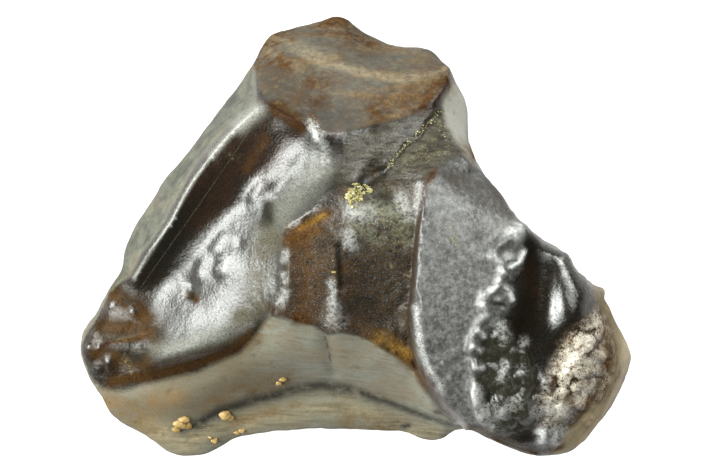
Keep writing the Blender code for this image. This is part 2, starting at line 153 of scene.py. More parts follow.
# %% A finish and its nodes
class Finish:
    """A material, or the room's light, that is built up node by node."""

    def __init__(self, owner, shader="Principled BSDF"):
        owner.use_nodes = True
        self.material = owner
        self.tree = owner.node_tree
        self.shader = self.tree.nodes[shader]

    def node(self, kind, settings, values, output=0):
        """Adds a node, sets it up, fills its sockets and gives back one of its outputs."""
        made = self.tree.nodes.new(kind)
        for name, setting in settings.items():
            if name == "stops":
                self.set_stops(made.color_ramp, setting)
            else:
                setattr(made, name, setting)
        for name, value in values.items():
            self.fill(made.inputs[name], value)
        return Amount(self, made.outputs[output])

    def set_stops(self, ramp, stops):
        """Gives a ramp its stops, each a place and a grey level."""
        while len(ramp.elements) < len(stops):
            ramp.elements.new(0.5)
        for element, (place, level) in zip(ramp.elements, stops):
            element.position = place
            element.color = (level, level, level, 1)

    def fill(self, socket, value):
        """Links a wrapped socket, or sets a plain number or colour."""
        if isinstance(value, Amount):
            self.tree.links.new(value.socket, socket)
        elif isinstance(value, tuple) and socket.type == "RGBA":
            socket.default_value = (*value, 1)
        else:
            socket.default_value = value

    def mix(self, share, under, over):
        """The colour under, covered with the colour over by the share."""
        return self.node("ShaderNodeMix", {"data_type": "RGBA"}, {"Factor": share, 6: under, 7: over}, 2)

    def layered(self, colour, layers):
        """A colour under several layers, each a share and the colour that covers so much of it."""
        for share, over in layers:
            colour = self.mix(share, colour, over)
        return colour

    def stretched(self, places, factors):
        """Positions, multiplied along each axis."""
        return self.node("ShaderNodeVectorMath", {"operation": "MULTIPLY"}, {0: places, 1: factors})

    def clouds(self, places, scale, detail=3.0, rough=0.55):
        """Soft noise between 0 and 1."""
        values = {"Vector": places, "Scale": scale, "Detail": detail, "Roughness": rough}
        return self.node("ShaderNodeTexNoise", {}, values, "Fac")

    def between(self, amount, low, high):
        """The amount, spread so that low becomes 0 and high becomes 1."""
        values = {"Value": amount, "From Min": low, "From Max": high}
        return self.node("ShaderNodeMapRange", {"clamp": True}, values)

    def mask(self, name):
        """A share that is stored on the points of the mesh."""
        return self.node("ShaderNodeAttribute", {"attribute_name": name}, {}, "Fac")

    def millimetres(self):
        """Positions on the object, in millimetres."""
        places = self.node("ShaderNodeTexCoord", {}, {}, "Object")
        return self.stretched(places, (1000.0, 1000.0, 1000.0))

    def surface(self, **values):
        """Fills the shader's own sockets, named in words joined by underscores."""
        for name, value in values.items():
            self.fill(self.shader.inputs[name.replace("_", " ")], value)

    def dulled(self, share, colour, normal):
        """Mixes a second shader without any gloss into the first one by the share."""
        values = {"Base Color": colour, "Normal": normal, "Roughness": 0.9, "Specular IOR Level": 0.0}
        matte = self.node("ShaderNodeBsdfPrincipled", {}, values, "BSDF")
        glossy = Amount(self, self.shader.outputs[0])
        both = self.node("ShaderNodeMixShader", {}, {0: share, 1: glossy, 2: matte})
        outlet = next(node for node in self.tree.nodes if node.type == "OUTPUT_MATERIAL")
        self.fill(outlet.inputs["Surface"], both)

    def bumps(self, height):
        """A bumped normal from a height in millimetres."""
        values = {"Strength": 1.0, "Distance": 0.001, "Height": height}
        return self.node("ShaderNodeBump", {}, values, "Normal")


# %% [markdown]
# The specimen lies on a light table, as small fossils often do for a sale picture: the table glows white,
# wipes out the shadow and throws a pale sheen onto the lower walls. A flat disc with a little glow of its
# own does the same job here without any trick in the camera.

# %% The light table
TABLE_RADIUS = 0.9
TABLE_CORNERS = 96
TABLE_DROP = 0.00002
TABLE_COLOUR = (0.07, 0.07, 0.07)
GLOW_COLOUR = (1.0, 1.0, 0.99)
TABLE_GLOW = 0.96


def mesh_of(form, name):
    """A mesh with that name, made from a working form, which is let go."""
    mesh = bpy.data.meshes.new(name)
    form.to_mesh(mesh)
    form.free()
    return mesh


disc = bmesh.new()
bmesh.ops.create_circle(disc, cap_ends=True, segments=TABLE_CORNERS, radius=TABLE_RADIUS)
table = placed("light_table", mesh_of(disc, "light table"))
table.location.z = -TABLE_DROP
table_finish = Finish(bpy.data.materials.new("light table"))
table_finish.surface(Base_Color=TABLE_COLOUR, Roughness=0.6)
table_finish.surface(Emission_Color=GLOW_COLOUR, Emission_Strength=TABLE_GLOW)
table.data.materials.append(table_finish.material)
print("light table across in metres:", 2 * TABLE_RADIUS)

# %% [markdown]
# Soft boxes light the tooth inside a dim room, so that the black enamel is either bright or dark, never
# foggy. A wide box stands to the left, with a brighter lamp behind its middle; another hangs above, towards
# the upper right. Nothing stands in front, which is why the faces turned that way are the darkest.

# %% Soft boxes
BOX_DISTANCE = 0.45
BOX_COLOUR = (0.97, 1.0, 0.975)
# Azimuth, elevation, width and height in degrees, and brightness
SOFT_BOXES = {
    "left_box": (178, 36, 66, 52, 6.5),
    "left_lamp": (172, 34, 40, 28, 12.0),
    "upper_right_box": (48, 52, 54, 44, 5.5),
    "upper_right_lamp": (58, 36, 24, 24, 10.0),
}


def soft_box(name, azimuth, elevation, width, height, radiance):
    """A soft light seen from the tooth that way, as wide and high as the angles, all in degrees."""
    turn, lift = math.radians(azimuth), math.radians(elevation)
    towards = Vector((math.cos(lift) * math.cos(turn), math.cos(lift) * math.sin(turn), math.sin(lift)))
    lamp = bpy.data.lights.new(name, "AREA")
    lamp.shape = "RECTANGLE"
    lamp.size = 2 * BOX_DISTANCE * math.tan(math.radians(width / 2))
    lamp.size_y = 2 * BOX_DISTANCE * math.tan(math.radians(height / 2))
    lamp.energy = radiance * math.pi * lamp.size * lamp.size_y
    lamp.color = BOX_COLOUR
    box = placed(name, lamp)
    box.location = BOX_DISTANCE * towards
    box.rotation_euler = towards.to_track_quat("Z", "Y").to_euler()


for name, settings in SOFT_BOXES.items():
    soft_box(name, *settings)
print("soft boxes:", len(SOFT_BOXES))

# %% The room
ROOM_STOPS = [(0.0, 0.22), (0.3, 0.12), (0.6, 0.07), (1.0, 0.05)]

world = bpy.data.worlds.new("room")
room = Finish(world, "Background")
direction = room.node("ShaderNodeTexCoord", {}, {}, "Generated")
upward = room.node("ShaderNodeSeparateXYZ", {}, {0: direction}, "Z")
level = room.node("ShaderNodeValToRGB", {"stops": ROOM_STOPS}, {0: upward})
room.surface(Color=level, Strength=1.0)
scene.world = world
scene.view_settings.view_transform = "Standard"
scene.view_settings.look = "Medium High Contrast"
print("brightness from the horizon up:", ROOM_STOPS)

# %% [markdown]
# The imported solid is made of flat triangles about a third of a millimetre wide, too coarse for gloss. Edges
# that turn sharply are creased a little, as worn edges are, and the rest is subdivided twice into a smooth
# skin. The side faces are joined into quads first, because nothing fine happens there and triangles are
# dear.

# %% A fine skin over the solid
WELD_DISTANCE = 0.000002
SIDE_FACING = 0.3
QUAD_ANGLE = math.radians(50)
QUAD_SKEW = 2.0
CREASE_ANGLE = math.radians(38)
CREASE = 0.78
SKIN_LEVELS = 2


def final_mesh(thing):
    """The mesh that a helper object ends up as; the helper is removed."""
    bpy.context.view_layer.update()
    mesh = bpy.data.meshes.new_from_object(thing.evaluated_get(bpy.context.evaluated_depsgraph_get()))
    bpy.data.objects.remove(thing)
    return mesh


def fine_skin(node):
    """The node's form as a smooth skin of small faces that keeps its worn edges."""
    form = bmesh.new()
    form.from_mesh(node.data)
    bmesh.ops.remove_doubles(form, verts=form.verts, dist=WELD_DISTANCE)
    sides = [face for face in form.faces if face.normal.z < SIDE_FACING]
    bmesh.ops.join_triangles(
        form, faces=sides, angle_face_threshold=QUAD_ANGLE, angle_shape_threshold=QUAD_SKEW
    )
    creases = form.edges.layers.float.new("crease_edge")
    for edge in form.edges:
        if edge.is_manifold and edge.calc_face_angle() > CREASE_ANGLE:
            edge[creases] = CREASE
    cage = placed("skin_cage", mesh_of(form, "skin cage"))
    smooth = cage.modifiers.new("smooth", "SUBSURF")
    smooth.levels = smooth.render_levels = SKIN_LEVELS
    return final_mesh(cage)


skin = fine_skin(tooth_node)
skin.name = "tooth skin"
print("triangles in the skin:", sum(len(face.vertices) - 2 for face in skin.polygons))

# %% Its points and the ways they face
UPPER_FROM = -0.15
UPPER_SPREAD = 0.3

count = len(skin.vertices)


def read_points(field):
    """Three numbers for every point of the skin: its place for co, or the way it faces for normal."""
    numbers = np.zeros(count * 3)
    skin.vertices.foreach_get(field, numbers)
    return numbers.reshape(-1, 3)


places = read_points("co")
columns, rows = plan_of(places)
facing = read_points("normal")
upper = np.clip((facing[:, 2] - UPPER_FROM) / UPPER_SPREAD, 0, 1)
print("highest point in millimetres:", round(1000 * float(places[:, 2].max()), 2))

# %% [markdown]
# The stains and textures follow the parts of the tooth, so each part needs a mask: a number from 0 to 1 on
# every point. An area is a ring of plan positions with a soft border, and a stroke is a line with a soft
# width, the way one would lay them down with a brush.

# %% Areas and strokes
def distance_to_line(line, closed=False):
    """Plan distance of every point from a line of plan positions, or from a single one."""
    ends = line[1:] + line[:1] if closed else line[1:]
    nearest = np.hypot(columns - line[0][0], rows - line[0][1])
    for (x0, y0), (x1, y1) in zip(line, ends):
        run = (x1 - x0) ** 2 + (y1 - y0) ** 2
        share = np.clip(((columns - x0) * (x1 - x0) + (rows - y0) * (y1 - y0)) / run, 0, 1)
        gap = np.hypot(columns - x0 - share * (x1 - x0), rows - y0 - share * (y1 - y0))
        nearest = np.minimum(nearest, gap)
    return nearest


def inside(ring, across, down):
    """True for every plan position that lies inside the ring."""
    result = np.zeros(len(across), dtype=bool)
    for (x0, y0), (x1, y1) in zip(ring, ring[1:] + ring[:1]):
        if y0 != y1:
            crosses = (y0 > down) != (y1 > down)
            result ^= crosses & (across < x0 + (down - y0) * (x1 - x0) / (y1 - y0))
    return result


def area(ring, soft=4.0):
    """Share of every point in an area whose border is soft steps wide."""
    signed = np.where(inside(ring, columns, rows), 1, -1) * distance_to_line(ring, closed=True)
    return upper * np.clip(0.5 + signed / soft, 0, 1)


def stroke(width, line):
    """Share of every point in a brush stroke."""
    return np.exp(-(distance_to_line(line) / width) ** 2)


def strokes(lines):
    """The strongest of several strokes, each a width and a line."""
    result = np.zeros(count)
    for width, line in lines:
        result = np.maximum(result, stroke(width, line))
    return upper * result


print("points facing up:", round(float(upper.mean()), 2))

# %% [markdown]
# The main areas come first: the smooth wear facet at the top, the saddle under it, the rough block in the
# middle, the plate on the right with its gravelly and knobbly parts, and the walls all round.

# %% Outlines of the areas
FACET = [
    (256, 62), (262, 40), (275, 24), (334, 8), (370, 24), (402, 40), (436, 42), (452, 62), (448, 82),
    (440, 95), (428, 106), (405, 118), (380, 125), (355, 131), (333, 134), (319, 131), (299, 122),
    (277, 108), (268, 103), (259, 88),
]
SADDLE = [
    (350, 134), (380, 125), (405, 118), (428, 106), (441, 112), (446, 130), (461, 154), (457, 168),
    (438, 170), (424, 179), (400, 183), (378, 184), (356, 184), (344, 188), (338, 174), (346, 152),
]
BLOCK = [
    (284, 231), (296, 222), (309, 215), (320, 206), (327, 193), (337, 187), (352, 184), (378, 180),
    (400, 181), (424, 180), (423, 200), (419, 230), (415, 278), (411, 323), (413, 350), (417, 368),
    (402, 359), (385, 350), (370, 340), (357, 335), (341, 332), (328, 334), (314, 325), (290, 318),
    (281, 314), (270, 316), (280, 296), (285, 275), (284, 250),
]
PLATE = [
    (438, 170), (457, 156), (470, 166), (482, 176), (496, 196), (510, 212), (524, 224), (520, 246),
    (520, 268), (508, 282), (512, 304), (496, 322), (482, 332), (474, 352), (474, 376), (474, 396),
    (482, 420), (472, 427), (458, 417), (443, 402), (430, 386), (418, 366), (412, 345), (413, 300),
    (416, 278), (419, 240), (423, 204), (426, 181),
]
GRAVEL = [
    (476, 352), (490, 322), (508, 324), (514, 346), (530, 362), (540, 392), (534, 424), (510, 436),
    (484, 424), (474, 396),
]
KNOBS = [
    (560, 344), (576, 324), (594, 306), (606, 322), (614, 346), (614, 376), (602, 398), (584, 408),
    (562, 424), (540, 426), (538, 398), (548, 372),
]
TIP = [
    (74, 350), (84, 320), (104, 290), (126, 290), (142, 310), (150, 334), (146, 356), (126, 380),
    (100, 392),
]
print("points round the facet:", len(FACET))

# %% Outlines of the walls
LOWER_WALL = [
    (84, 374), (98, 388), (122, 391), (150, 383), (196, 372), (240, 352), (262, 327), (271, 315),
    (290, 318), (314, 325), (328, 334), (341, 332), (357, 335), (370, 340), (385, 350), (402, 359),
    (414, 368), (422, 386), (436, 406), (452, 420), (470, 434), (470, 480), (60, 480), (60, 380),
]
LEFT_WALL = [
    (255, 60), (257, 104), (243, 115), (224, 133), (200, 161), (189, 178), (179, 194), (167, 219),
    (154, 238), (143, 251), (130, 276), (106, 292), (60, 290), (200, 40),
]
SIDE_WALL = [
    (449, 62), (449, 82), (442, 100), (441, 112), (445, 128), (453, 143), (461, 154), (474, 168),
    (520, 150), (500, 40),
]
RIGHT_RIM = [
    (586, 280), (594, 300), (603, 318), (610, 340), (609, 362), (599, 384), (586, 405), (572, 424),
    (560, 438), (550, 451), (550, 480), (660, 460), (660, 280),
]
walls = np.maximum(area(LOWER_WALL, 10.0), area(LEFT_WALL, 6.0))
walls = np.maximum(walls, np.maximum(area(SIDE_WALL, 8.0), area(RIGHT_RIM, 14.0)))
masks = {
    "facet": area(FACET, 5.0),
    "saddle": area(SADDLE, 16.0),
    "block": area(BLOCK, 5.0),
    "plate": area(PLATE, 12.0),
    "gravel": area(GRAVEL, 20.0),
    "knobs": area(KNOBS, 24.0),
    "wall": np.maximum(walls, 1 - upper),
    "left wall": area(LEFT_WALL, 8.0),
    "right rim": area(RIGHT_RIM, 16.0),
    "side": area(SIDE_WALL, 8.0),
}
print({name: round(float(mask.mean()), 3) for name, mask in masks.items()})

# %% [markdown]
# The solid's pits are cut by its coarse triangles and look sharp. Wax would be warmed there until it sinks
# into a soft form. Here each point of those zones is drawn to the middle of its neighbours, again and
# again, and finer lumps and dimples are put back later.

# %% Melted zones
MELTED_ZONES = [
    (13, [(238, 230), (233, 262), (226, 290)]), (10, [(267, 208), (262, 230)]),
    (18, [(214, 244), (208, 280)]), (12, [(196, 282), (194, 298)]), (16, [(512, 232), (508, 272)]),
    (18, [(480, 300), (508, 298)]), (14, [(488, 318), (500, 334)]), (16, [(538, 232), (540, 330)]),
    (16, [(570, 258), (574, 290), (572, 320)]), (16, [(548, 384), (552, 408)]),
    (14, [(538, 436), (556, 440)]), (18, [(100, 330), (110, 360), (124, 312)]),
    (7, [(372, 178), (388, 168), (402, 150), (423, 130), (441, 113)]),
]
MELTING_ROUNDS = 80
MELTING_REACH = 1.6

links = np.zeros(2 * len(skin.edges), dtype=np.int32)
skin.edges.foreach_get("vertices", links)
links = np.concatenate([links.reshape(-1, 2), links.reshape(-1, 2)[:, ::-1]])
neighbours = np.bincount(links[:, 0], minlength=count)[:, None]
melting = np.clip(MELTING_REACH * strokes(MELTED_ZONES), 0, 1)[:, None]
for turn in range(MELTING_ROUNDS):
    pulls = [np.bincount(links[:, 0], places[links[:, 1], axis], count) for axis in range(3)]
    places = places + melting * (np.column_stack(pulls) / neighbours - places)
skin.vertices.foreach_set("co", places.ravel())
skin.update()
facing = read_points("normal")
print("melted points:", int((melting > 0.5).sum()))

# %% [markdown]
# Stains come next, each with its own brush. Rust marks the worn rims where the enamel is thin, amber stains
# the scoop at the block's upper left and its lower right corner, and a dark band lies under the enamel's
# swelling.

# %% Rust and amber
masks["rust"] = strokes([
    (3, [(262, 100), (268, 104), (277, 109), (299, 123), (319, 132), (333, 135), (350, 132)]),
    (4.5, [(449, 74), (447, 84), (440, 96), (430, 105), (416, 113)]),
    (3, [(433, 172), (428, 180), (425, 190)]),
    (1.2, [(425, 190), (421, 213), (417, 240), (413, 278), (410, 300), (409, 323), (412, 350), (418, 368)]),
    (2, [(420, 366), (428, 381), (438, 395), (460, 420), (474, 430), (516, 450), (550, 457)]),
    (5, [(272, 310), (282, 314), (296, 320)]), (3, [(82, 334), (90, 330)]), (3, [(96, 346), (112, 343)]),
])
masks["amber"] = strokes([
    (6, [(294, 230), (306, 226), (318, 220), (328, 214)]), (8, [(292, 240), (302, 236), (314, 230)]),
    (5, [(400, 356), (414, 368), (428, 386)]), (5, [(296, 316), (306, 320)]),
    (8, [(600, 334), (606, 350), (604, 366)]), (6, [(566, 396), (572, 408), (560, 418)]),
    (6, [(598, 384), (586, 402), (572, 420)]), (5, [(551, 449), (560, 447)]),
    (3.5, [(434, 173), (429, 181)]), (3, [(470, 130), (472, 148), (473, 158)]),
    (2, [(146, 335), (132, 340), (116, 342)]), (3, [(372, 176), (378, 170)]),
])
print("rusty share:", round(float(masks["rust"].mean()), 3))

# %% Brown, tan with a painted crest highlight, and dark with painted shade
DEEP_CRACK = [(384, 172), (402, 150), (423, 130), (441, 113)]

masks["brown"] = strokes([
    (13, [(268, 46), (276, 36), (290, 32)]), (15, [(322, 22), (338, 20), (352, 32), (366, 42)]),
    (8, [(268, 60), (280, 60), (290, 68)]), (12, [(304, 80), (320, 86), (318, 98), (306, 112)]),
    (16, [(374, 114), (400, 108), (424, 98), (440, 84)]), (8, [(280, 106), (298, 118)]),
    (6, [(256, 66), (262, 42), (276, 26)]), (5, [(300, 16), (334, 9), (368, 24), (400, 40)]),
    (6, [(448, 80), (434, 102), (406, 117)]), (8, [(370, 134), (382, 128)]), (9, [(466, 150), (474, 160)]),
    (13, [(104, 404), (126, 412), (150, 424)]), (12, [(176, 398), (150, 402)]),
    (7, [(206, 404), (236, 392), (262, 386)]), (5, [(232, 424), (262, 414), (300, 404)]),
    (9, [(284, 380), (262, 384)]), (11, [(350, 424), (388, 428)]),
    (10, [(270, 296), (262, 318), (246, 340)]),
])
# The tan strokes are tan streaks and also a painted highlight along the facet's crest, where its rounded edge
# catches the light.
masks["tan"] = strokes([
    (4.5, [(336, 65), (352, 70), (374, 75), (400, 80), (426, 76), (447, 72)]),
    (8, [(276, 38), (294, 46), (312, 56), (330, 63)]), (5, [(268, 52), (284, 60), (300, 70)]),
])
# Painted shade: near black in the crack, its hole, pits and hollows, the groove above the lip and the shaded
# side of the block's ridge, and a painted shadow under the facet's lower step.
masks["dark"] = strokes([
    (5.6, [(198, 424), (219, 411), (248, 402), (276, 395), (299, 388), (322, 385), (357, 391), (380, 399)]),
    (3.4, [(380, 399), (403, 408), (426, 417), (452, 424)]), (3, [(186, 428), (198, 424)]),
    (0.8, [(325, 336), (328, 348)]), (0.6, [(329, 352), (331, 362)]),
    (2.4, [(346, 134), (362, 132), (378, 126)]), (8, [(364, 182), (372, 177), (382, 172)]),
    (2.2, DEEP_CRACK), (1.6, [(506, 262), (514, 260)]),
    (2.4, [(494, 304), (504, 306)]), (2.6, [(500, 319), (492, 331)]), (6, [(334, 192), (328, 202)]),
    (5, [(380, 196), (392, 200)]), (3.5, [(338, 244), (340, 262), (341, 284)]),
    (3, [(436, 411), (442, 411)]), (3, [(403, 427), (409, 426)]), (4, [(184, 284), (192, 290), (190, 300)]),
    (6, [(264, 208), (268, 220)]), (7, [(124, 352), (138, 358)]),
])
masks["ember"] = strokes([
    (12, [(262, 116), (240, 136), (216, 162), (194, 192)]),
    (13, [(268, 122), (252, 146), (232, 176), (212, 206), (200, 222)]),
    (12, [(300, 130), (284, 152), (262, 180)]), (12, [(120, 372), (160, 366), (206, 358)]),
    (7, [(528, 268), (534, 290)]), (10, [(500, 196), (520, 222)]),
])
print("masks so far:", len(masks))

# %% Dull and umber enamel
ENAMEL_FOOT = [(112, 382), (150, 375), (196, 363), (236, 347), (252, 337)]
PLATE_FOOT = [(470, 426), (490, 437), (514, 448), (536, 455)]

tip_gloss = strokes([
    (4.5, [(92, 332)]), (5.5, [(109, 361)]), (3.5, [(112, 304)]), (4.5, [(133, 310)]), (3, [(88, 346)]),
    (3, [(99, 347)]),
])
masks["dull"] = (1 - tip_gloss) * strokes([
    (8, [(272, 110), (286, 118), (302, 129)]), (15, [(526, 244), (534, 270), (530, 300), (522, 328)]),
    (9, [(572, 334), (560, 352)]), (16, [(98, 328), (126, 328), (152, 332)]),
    (14, [(98, 352), (124, 358), (148, 362)]), (16, [(116, 292), (132, 306), (146, 320)]),
    (9, [(602, 308), (612, 340), (608, 376), (592, 410), (570, 436)]),
    (8, ENAMEL_FOOT), (7, [(268, 206), (266, 222)]), (13, [(322, 244), (322, 276), (318, 306)]),
    (8, [(380, 336), (396, 344), (408, 352)]), (4, [(189, 293), (196, 300)]), (5, PLATE_FOOT),
])
masks["umber"] = (1 - tip_gloss) * strokes([
    (12, [(98, 328), (126, 326), (148, 332)]), (11, [(98, 350), (124, 358), (142, 363)]),
    (13, [(112, 296), (128, 306), (144, 318)]), (8, ENAMEL_FOOT),
    (5, [(272, 110), (286, 118), (302, 128)]), (5, [(597, 292)]), (5, [(189, 293), (196, 300)]),
    (5, PLATE_FOOT), (9, [(600, 330), (608, 350), (604, 372)]),
])
print("glossy share of the tip:", round(float(tip_gloss.mean()), 4))

# %% Stains, film with painted sheen, and silt
masks["olive"] = strokes([(30, [(110, 402), (150, 404), (196, 392), (240, 370)])])
masks["facet shade"] = strokes([(22, [(274, 74), (292, 92), (312, 114), (340, 122)])])
masks["plate stain"] = strokes([
    (14, [(478, 180), (494, 200), (510, 220)]), (8, [(446, 176), (470, 186)]),
])
masks["ochre"] = strokes([
    (7, [(378, 337), (392, 344), (408, 355)]), (3, [(300, 228), (312, 222), (324, 215)]),
])
masks["plate low"] = strokes([(26, [(458, 326), (450, 366), (464, 404)])])
# A grey film that also paints the enamel's broad sheen on the shoulder and a painted highlight on the lower
# swelling.
masks["film"] = strokes([
    (15, [(322, 168), (300, 190), (284, 212), (270, 234)]),
    (10, [(156, 350), (190, 342), (224, 330), (240, 318)]),
])
masks["silt"] = strokes([
    (14, [(272, 236), (262, 256), (256, 284), (254, 306)]), (9, [(264, 306), (240, 316)]),
    (2.8, [(144, 333), (126, 338), (106, 342)]),
])
# Painted highlight along the carina's crest, widest at its top.
masks["pale"] = strokes([
    (7, [(259, 111), (249, 119), (240, 127)]), (3, [(238, 128), (226, 140), (212, 157)]),
    (1.6, [(212, 157), (196, 178), (184, 198), (171, 222), (158, 241), (134, 278)]),
])
masks["russet"] = strokes([
    (17, [(302, 244), (308, 270), (308, 304)]), (9, [(344, 262), (346, 288)]),
    (9, [(330, 318), (352, 326), (376, 338)]), (5, [(266, 140), (246, 170)]),
    (8, [(592, 296), (604, 320), (612, 346)]),
])
print("masks so far:", len(masks))

# %% Frost and painted highlights, dust and green
# Frost strokes are pale scuffs and painted highlights: on the block's rim, ridge and top, the plate's bevel,
# the upper bulge of the enamel, and bright spots among the knobs and the gravel.
masks["frost"] = strokes([
    (4.5, [(286, 252), (285, 260)]), (4, [(284, 274), (285, 281)]), (6, [(285, 292), (281, 302)]),
    (5, [(332, 282), (333, 296)]), (7.5, [(333, 302), (334, 310)]), (13, [(335, 319)]),
    (8, [(347, 236), (352, 246)]), (11, [(352, 212), (368, 214)]),
    (5, [(419, 186), (418, 200), (415, 212)]), (8, [(400, 200), (408, 216)]),
    (12, [(540, 410), (566, 412)]), (7, [(496, 322), (503, 336)]), (5, [(519, 367)]), (6, [(523, 341)]),
    (8, [(496, 412), (512, 400)]), (5, [(504, 362), (498, 378)]), (3.2, [(559, 260), (563, 274)]),
    (7, [(545, 426), (562, 430)]), (3.4, [(415, 306), (417, 326), (421, 350), (430, 370), (442, 387)]),
    (4, [(478, 386), (477, 404)]), (7, [(480, 404), (490, 424)]), (3, [(292, 226), (299, 222)]),
    (6, [(311, 124), (319, 136), (325, 150), (324, 162)]), (5.5, [(227, 254), (222, 268)]),
])
masks["dust"] = strokes([
    (9, [(404, 162), (424, 157), (444, 152)]), (6, [(438, 122), (447, 138)]), (8, [(418, 152), (430, 140)]),
    (12, [(354, 198), (362, 210), (388, 216)]), (12, [(396, 206), (404, 226), (398, 244)]),
    (4, [(390, 262), (396, 290)]), (5, [(450, 226), (455, 244)]), (5, [(184, 184), (178, 196)]),
    (4, [(228, 156), (240, 158)]), (4, [(152, 206), (146, 216)]), (4, [(124, 356), (132, 372)]),
])
masks["lip"] = strokes([
    (10, [(150, 428), (185, 445), (222, 430), (262, 419), (310, 410), (350, 408), (390, 420), (436, 434)]),
])
masks["green"] = strokes([
    (14, [(372, 200), (394, 214), (404, 232)]), (10, [(360, 228), (380, 240)]),
])
print("masks so far:", len(masks))

# %% Where the enamel is lumpy
lumpy = strokes([
    (26, [(318, 146), (290, 180), (254, 220), (220, 262), (190, 280)]),
    (26, [(246, 322), (200, 336), (160, 348)]), (24, [(112, 300), (96, 340), (124, 370)]),
    (30, [(506, 226), (510, 280), (500, 330)]), (26, [(566, 262), (572, 310), (590, 350)]),
    (40, [(500, 380), (560, 400)]),
])
print("lumpy share:", round(float(lumpy.mean()), 3))

# %% [markdown]
# Fine relief is real geometry, because it has to show at the rim and in the exported mesh. Enamel has
# shallow lumps and ripples, the block is rough, the plate's gravel and knobs are many small round beads,
# and the walls are nearly smooth.

# %% Noise on the points
WIDE_WAVES = 0.9
MIDDLING_WAVES = 0.42
FINE_WAVES = 0.2

points = [Vector(place) for place in places * 1000]


def ripples(size):
    """Smooth noise on every point, between -1 and 1, with waves of that size in millimetres."""
    return np.array([noise.noise(point / size) for point in points])


wide, middling, fine = ripples(WIDE_WAVES), ripples(MIDDLING_WAVES), ripples(FINE_WAVES)
print("noise spread:", round(float(wide.std()), 3), round(float(fine.std()), 3))

# %% Beads
DOME_SHARE = 0.42
TIP_SHARE = 0.35
BEAD_SEED = 12


def scattered(dice, ring, many, least, most):
    """Random plan spots inside a ring, each with a radius between least and most, in steps."""
    low, high = np.min(ring, axis=0), np.max(ring, axis=0)
    across, down = dice.uniform(low[0], high[0], many), dice.uniform(low[1], high[1], many)
    kept = inside(ring, across, down)
    radius = dice.uniform(least, most, many)
    return [spot for spot, keep in zip(zip(across, down, radius), kept) if keep]


def beads(spots):
    """Height in steps of round bumps at the spots, each a flattened dome."""
    result = np.zeros(count)
    for column, row, radius in spots:
        near = np.flatnonzero((np.abs(columns - column) < radius) & (np.abs(rows - row) < radius))
        gap = (columns[near] - column) ** 2 + (rows[near] - row) ** 2
        dome = DOME_SHARE * np.sqrt(np.clip(radius ** 2 - gap, 0, None))
        result[near] = np.maximum(result[near], dome)
    return result


dice = np.random.default_rng(BEAD_SEED)
gravel_beads = beads(scattered(dice, GRAVEL, many=230, least=3.0, most=10.0))
knob_beads = beads(scattered(dice, KNOBS, many=190, least=3.0, most=9.0))
tip_beads = TIP_SHARE * beads(scattered(dice, TIP, many=16, least=4.0, most=8.0))
print("tallest bead in millimetres:", round(1000 * STEP * float(knob_beads.max()), 3))

# %% [markdown]
# The worm-like ridges where the plate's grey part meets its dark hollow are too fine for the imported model,
# and so are the smallest bulges of the enamel, the knobs and the crack. They are drawn as raised strokes
# and furrows. Each has a half width, a height and a line, all in plan steps.

# %% Ridges and furrows
def relief_strokes(lines):
    """Height in steps of thin strokes, each a half width, a height and a line."""
    result = np.zeros(count)
    for half_width, rise, line in lines:
        result += rise * stroke(half_width, line)
    return upper * result


ENAMEL_FORMS = [
    (9, 3.5, [(150, 366), (190, 352), (232, 344), (250, 334)]), (6, -1.6, [(268, 208), (268, 220)]),
    (4.5, -1, [(239, 241), (239, 247)]), (5, -2, [(189, 284), (190, 294)]),
    (5, -0.8, [(286, 178), (276, 190)]), (7, 1.8, [(262, 186), (254, 198)]),
    (6, 1.8, [(224, 236), (216, 248)]), (6, 1.4, [(204, 262), (198, 274)]),
    (6, 1.8, [(227, 258), (223, 272)]), (9, 2, [(322, 148), (316, 166)]), (8, 2.6, [(322, 140)]),
]
print("forms of the enamel:", len(ENAMEL_FORMS))

# %% The ragged edge of the plate
EDGE_FORMS = [
    (5, 4.8, [
        (506, 240), (495, 248), (492, 257), (499, 265), (501, 274), (494, 284), (485, 292), (481, 303),
        (484, 314), (478, 325), (472, 337), (470, 350), (473, 362), (474, 376), (472, 390), (475, 404),
        (482, 416),
    ]),
    (9, 6, [(518, 230)]), (3.5, 4.4, [(508, 268), (518, 262), (523, 250)]),
    (3, 2.6, [(500, 272), (509, 280)]), (4, 4.2, [(486, 292), (496, 287), (506, 290), (511, 299)]),
    (4, 2.6, [(482, 305), (485, 313)]), (6, 3, [(506, 256)]), (2.6, -2.4, [(495, 303), (502, 305)]),
    (6, 2.6, [(494, 298)]), (3, -2, [(499, 319), (492, 330)]), (3.4, 2, [(476, 330), (484, 336)]),
    (3.4, 2, [(472, 346), (480, 350)]), (3.4, 2, [(474, 364), (482, 366)]),
    (3.6, 2.2, [(476, 384), (478, 398)]),
]
print("forms of the edge:", len(EDGE_FORMS))

# %% Knobs, gravel and the left tip
KNOB_FORMS = [
    (20, 8, [(574, 294), (568, 318)]), (11, 5, [(568, 258)]), (7, 5, [(543, 435)]), (6, 4, [(556, 438)]),
    (8, 6.5, [(548, 382), (550, 394)]), (7, 4, [(594, 330), (592, 340)]), (6, 3.6, [(584, 350)]),
    (6, 3.6, [(574, 362), (570, 368)]), (6, 4, [(590, 372)]), (6, 4, [(574, 388)]),
    (6, 4, [(522, 352), (526, 372)]), (6, 4, [(506, 366), (508, 384)]), (6, 4, [(520, 398), (524, 412)]),
    (6, 4, [(498, 400), (500, 412)]), (6, 4, [(560, 412)]), (5, 3, [(600, 356)]), (5, 3, [(578, 404)]),
    (5.5, 5, [(598, 293)]), (2.4, 1.2, [(552, 374), (560, 376), (564, 386), (563, 398), (557, 408)]),
    (2.4, -1.8, [(556, 386), (556, 402)]),
    (2, 0.9, [(582, 420), (588, 416), (593, 419), (589, 424), (583, 423)]),
]
